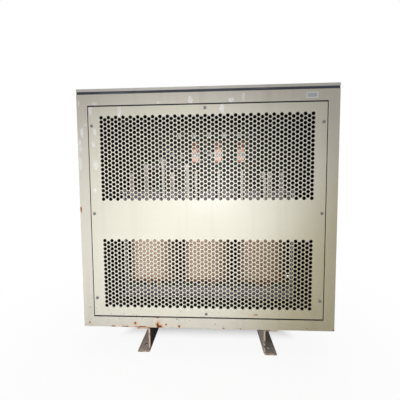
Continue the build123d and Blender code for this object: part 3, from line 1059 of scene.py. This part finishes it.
class TRANSFORMER_OT_wrap_leads(bpy.types.Operator):
    """Tapes the coil leads and the lower part of the bus bars"""

    bl_idname = "transformer.wrap_leads"
    bl_label = "Wrap leads"

    def straps(self, wrap):
        """Taped length of each coil lead: width, thickness, middle, bottom and top."""
        tops = {}
        for vertex in frame["nodes"]["coil_leads"].data.vertices:
            key = round(vertex.co.x, 3)
            tops[key] = max(tops.get(key, 0.0), vertex.co.z)
        edges = sorted(tops)
        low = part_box("coil_leads")[0]
        lengths = []
        for left, right in zip(edges[0::2], edges[1::2]):
            middle = Vector(((left + right) / 2, low.y + wrap.lead_plate / 2, 0))
            bottom = low.z + wrap.foot_room
            lengths.append((right - left, wrap.lead_plate, middle, bottom, tops[left] - wrap.bare_end))
        return lengths

    def bars(self, wrap):
        """Taped length of each bus bar: width, thickness, middle, bottom and top."""
        lengths = []
        for side in SIDES:
            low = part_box(f"{side}_bus_bar")[0]
            middle = Vector((low.x + wrap.bus_width / 2, low.y + wrap.bus_plate / 2, 0))
            bottom = low.z + wrap.foot_room
            lengths.append((wrap.bus_width, wrap.bus_plate, middle, bottom, wrap.bus_wrap_top))
        return lengths

    def cord(self, wrap, bar, top):
        """Narrow pale lead on the front of a taped bar."""
        depth, middle, bottom = bar[1:4]
        thickness = wrap.cord * 0.6
        ahead = depth / 2 + 3 * wrap.tape + thickness / 2
        return wrap.cord, thickness, middle - REAR * ahead + RIGHT * wrap.cord_shift, bottom, top

    def sleeves(self, wrap, lengths, name, finish):
        """Tapes a set of lengths and joins them into one piece."""
        made = [taped_length(wrap, *sizes) for sizes in lengths]
        complete(join(made), name, finish)

    def execute(self, context):
        wrap = context.scene.transformer_wrap
        straps = self.straps(wrap)
        bars = self.bars(wrap)
        corded = [straps[place] for place in CORDED_LEADS]
        plain = [strap for place, strap in enumerate(straps) if place not in CORDED_LEADS]
        pale = [self.cord(wrap, strap, strap[-1]) for strap in corded]
        pale += [self.cord(wrap, bar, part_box("bus_strap")[0].z) for bar in bars]
        self.sleeves(wrap, pale, "pale_sleeves", "sleeve_glass")
        self.sleeves(wrap, plain, "grey_sleeves", "grey_sleeve")
        self.sleeves(wrap, corded + bars, "dark_sleeves", "dark_tape")
        return {"FINISHED"}


class TRANSFORMER_OT_band_coils(bpy.types.Operator):
    """Puts a dark band round each end of the coils"""

    bl_idname = "transformer.band_coils"
    bl_label = "Band coils"

    def band(self, wrap, middle, size):
        """Band with the outline of a coil: an open box with round corners and a wall."""
        band = block((size.x, size.y, wrap.collar), middle)
        select_faces(band, level_faces)
        bpy.ops.mesh.delete(type="FACE")
        bpy.ops.mesh.select_mode(type="EDGE")
        leave_edit()
        for edge in band.data.edges:
            first, second = (band.data.vertices[index].co for index in edge.vertices)
            edge.select = abs(first.z - second.z) > wrap.collar / 2
        bpy.ops.object.mode_set(mode="EDIT")
        bpy.ops.mesh.bevel(offset=wrap.coil_corner, segments=8, affect="EDGES")
        leave_edit()
        apply_modifier(band, "wall", "SOLIDIFY", thickness=wrap.tape * 1.5, offset=1.0)
        apply_modifier(band, "edge", "BEVEL", width=wrap.tape * 0.5, segments=2)
        return band

    def execute(self, context):
        wrap = context.scene.transformer_wrap
        bands = []
        for side in SIDES:
            low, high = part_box(f"{side}_coil")
            middle = (low + high) / 2
            for z in (low.z + wrap.collar / 2, high.z - wrap.collar / 2):
                bands.append(self.band(wrap, (middle.x, middle.y, z), high - low))
        complete(join(bands), "coil_bands", "collar_tape", 40.0)
        return {"FINISHED"}


class TRANSFORMER_OT_bolt_up(bpy.types.Operator):
    """Sets the bolts of the terminals, the upper board and the core clamps"""

    bl_idname = "transformer.bolt_up"
    bl_label = "Set bolts"

    def terminal_places(self):
        """Places of the terminal bolts, on the faces of the bus bars."""
        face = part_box("left_bus_bar")[0].y
        places = [MOUNTS[f"{side}_terminal"]["pos_m"] for side in SIDES]
        return [facing(Vector((x, face, z)), -REAR, x) for x, _, z in places]

    def tap_places(self, fasteners):
        """Places of a row of bolts along the upper board."""
        low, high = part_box("tap_board")
        places = []
        for step in (-2, -1, 0, 1, 2):
            x = fasteners.tap_middle + step * fasteners.tap_spacing
            places.append(facing(Vector((x, low.y, (low.z + high.z) / 2)), -REAR, TAP_TURN * step))
        return places

    def clamp_places(self, fasteners):
        """Places on the webs of the clamps: between the coils and beside the outer ones."""
        boxes = [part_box(f"{side}_coil") for side in SIDES]
        between = [(boxes[n][1].x + boxes[n + 1][0].x) / 2 for n in (0, 1)]
        across = [boxes[0][0].x, *between, boxes[2][1].x]
        places = []
        for edge in ("bottom", "top"):
            for side, outward in (("front", -REAR), ("rear", REAR)):
                low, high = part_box(f"{edge}_{side}_clamp")
                web = high.y - fasteners.clamp_web if side == "front" else low.y + fasteners.clamp_web
                places += [facing(Vector((x, web, (low.z + high.z) / 2)), outward, x) for x in across]
        return places

    def execute(self, context):
        sizes = context.scene.transformer_fasteners
        sets = (
            ("terminal", self.terminal_places(), "plated_steel"),
            ("tap", self.tap_places(sizes), "plated_steel"),
            ("clamp", self.clamp_places(sizes), "dull_bar"),
        )
        for name, places, finish in sets:
            bolt = hex_bolt(getattr(sizes, f"{name}_bolt"), getattr(sizes, f"{name}_stud"))
            complete(copies(bolt, places), f"{name}_bolts", finish)
        return {"FINISHED"}


class TRANSFORMER_OT_build_stage(bpy.types.Operator):
    """Builds the floor, the light and the camera"""

    bl_idname = "transformer.build_stage"
    bl_label = "Build stage"

    def seen_share(self, paint):
        """Share of the floor that shows white: less under the enclosure and in the anchor holes."""
        seen = paint.add("LightPath").outputs["Is Camera Ray"]
        far = paint.span(paint.size(paint.where), 0.4, 1.3, 0.92, 1.0)
        across = paint.calc("ABSOLUTE", paint.x)
        along = paint.calc("ABSOLUTE", paint.y)
        under = paint.calc("MINIMUM", paint.minus(HALF_WIDTH, across), paint.minus(HALF_DEPTH, along))
        shadow_edge = (0.09, 0.24)
        hole_edge = (0.0095, 0.0075)
        shaded = paint.span(under, *shadow_edge, 1.0, 0.1)
        aside = paint.minus(across, ANCHORS["spacing_x_mm"] * MM / 2)
        ahead = paint.minus(along, ANCHORS["spacing_y_mm"] * MM / 2)
        off_hole = paint.size(paint.add("CombineXYZ", {0: aside, 1: ahead}).outputs[0])
        return paint.times(seen, far, shaded, paint.span(off_hole, *hole_edge, 1.0, 0.35))

    def build_floor(self, stage):
        """Pale floor that shows white to the camera and keeps the object's shadow."""
        deselect()
        bpy.ops.mesh.primitive_plane_add(size=stage.floor_size, location=(0, 0, -stage.floor_drop))
        floor = bpy.context.object
        floor.name = "floor"
        settle(floor)
        paint = Finish("floor_paint", stage.floor)
        paint.over(paint.span(paint.noise(1.2, 3.0), *MIDDLING), stage.floor, 0.98)
        paint.shade(0.9)
        floor.data.materials.append(paint.material)
        glow = paint.add("Emission", {"Color": (1, 1, 1, 1), "Strength": 1.0})
        surfaces = {0: self.seen_share(paint), 1: paint.shader.outputs[0], 2: glow.outputs[0]}
        paint.feed(paint.output.inputs["Surface"], paint.add("MixShader", surfaces).outputs[0])

    def build_sky(self, stage):
        """Even light from all round; white where it is seen."""
        world = bpy.data.worlds.new("studio_sky")
        bpy.context.scene.world = world
        world.use_nodes = True
        sky = Pattern(world.node_tree)
        path = sky.add("LightPath").outputs
        seen = sky.largest(path["Is Camera Ray"], path["Is Glossy Ray"])
        strength = sky.span(seen, 0.0, 1.0, stage.sky, 1.0)
        back = sky.add("Background", {"Color": (1, 1, 1, 1), "Strength": strength})
        sky.add("OutputWorld", {"Surface": back.outputs[0]})

    def add_light(self, kind, name, place, aim, power):
        """Light of a kind, aimed at a point."""
        bpy.ops.object.light_add(type=kind, location=place)
        lamp = bpy.context.object
        lamp.name = name
        lamp.data.energy = power
        lamp.rotation_euler = (Vector(aim) - Vector(place)).to_track_quat("-Z", "Y").to_euler()
        return lamp

    def build_lights(self, stage):
        """Soft spots on the front, a low light before it and a broad light on each of the other sides."""
        for setting, (place, aim, angle, softness) in SPOTS.items():
            place = place or stage.camera_place
            lamp = self.add_light("SPOT", f"{setting}_light", place, aim, getattr(stage, setting))
            lamp.data.spot_size = math.radians(angle)
            lamp.data.spot_blend = 1.0
            lamp.data.shadow_soft_size = softness
        for name, setting, place, aim, width in BROAD_LIGHTS:
            lamp = self.add_light("AREA", name, place, aim, getattr(stage, setting))
            lamp.data.size = width
            lamp.visible_camera = False

    def execute(self, context):
        stage = context.scene.transformer_stage
        self.build_floor(stage)
        self.build_sky(stage)
        self.build_lights(stage)
        bpy.ops.object.camera_add(location=stage.camera_place, rotation=stage.camera_turn)
        camera = context.object
        camera.name = "photo_camera"
        camera.data.sensor_width = stage.sensor
        camera.data.lens = stage.lens
        camera.data.clip_start = 0.01
        context.scene.camera = camera
        context.scene.view_settings.view_transform = "Standard"
        return {"FINISHED"}


class TRANSFORMER_PT_pieces(bpy.types.Panel):
    """Lists the pieces of the transformer"""

    bl_label = "Transformer"
    bl_idname = "TRANSFORMER_PT_pieces"
    bl_space_type = "VIEW_3D"
    bl_region_type = "UI"
    bl_category = "Transformer"

    def draw(self, context):
        for operator in OPERATORS:
            self.layout.operator(operator.bl_idname)
        for name, group in SETTINGS.items():
            box = self.layout.box()
            settings = getattr(context.scene, name)
            for key in group.__annotations__:
                box.prop(settings, key)


SETTINGS = {
    "transformer_grille": GrilleSettings,
    "transformer_fasteners": FastenerSettings,
    "transformer_wrap": WrapSettings,
    "transformer_label": LabelSettings,
    "transformer_paint": PaintSettings,
    "transformer_stage": StageSettings,
}
OPERATORS = (
    TRANSFORMER_OT_finish_frame,
    TRANSFORMER_OT_punch_grille,
    TRANSFORMER_OT_fix_screws,
    TRANSFORMER_OT_stick_label,
    TRANSFORMER_OT_wrap_leads,
    TRANSFORMER_OT_band_coils,
    TRANSFORMER_OT_bolt_up,
    TRANSFORMER_OT_build_stage,
)


def register():
    """Registers the settings, the operators and the panel."""
    for name, group in SETTINGS.items():
        bpy.utils.register_class(group)
        setattr(bpy.types.Scene, name, bpy.props.PointerProperty(type=group))
    for operator in OPERATORS:
        bpy.utils.register_class(operator)
    bpy.utils.register_class(TRANSFORMER_PT_pieces)


def unregister():
    """Takes them out again."""
    bpy.utils.unregister_class(TRANSFORMER_PT_pieces)
    for operator in reversed(OPERATORS):
        bpy.utils.unregister_class(operator)
    for name, group in SETTINGS.items():
        delattr(bpy.types.Scene, name)
        bpy.utils.unregister_class(group)


def main():
    """Registers the add-on and builds the whole look, running each operator in turn."""
    register()
    for operator in OPERATORS:
        category, name = operator.bl_idname.split(".")
        getattr(getattr(bpy.ops, category), name)()
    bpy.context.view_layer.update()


if __name__ == "__main__":
    main()
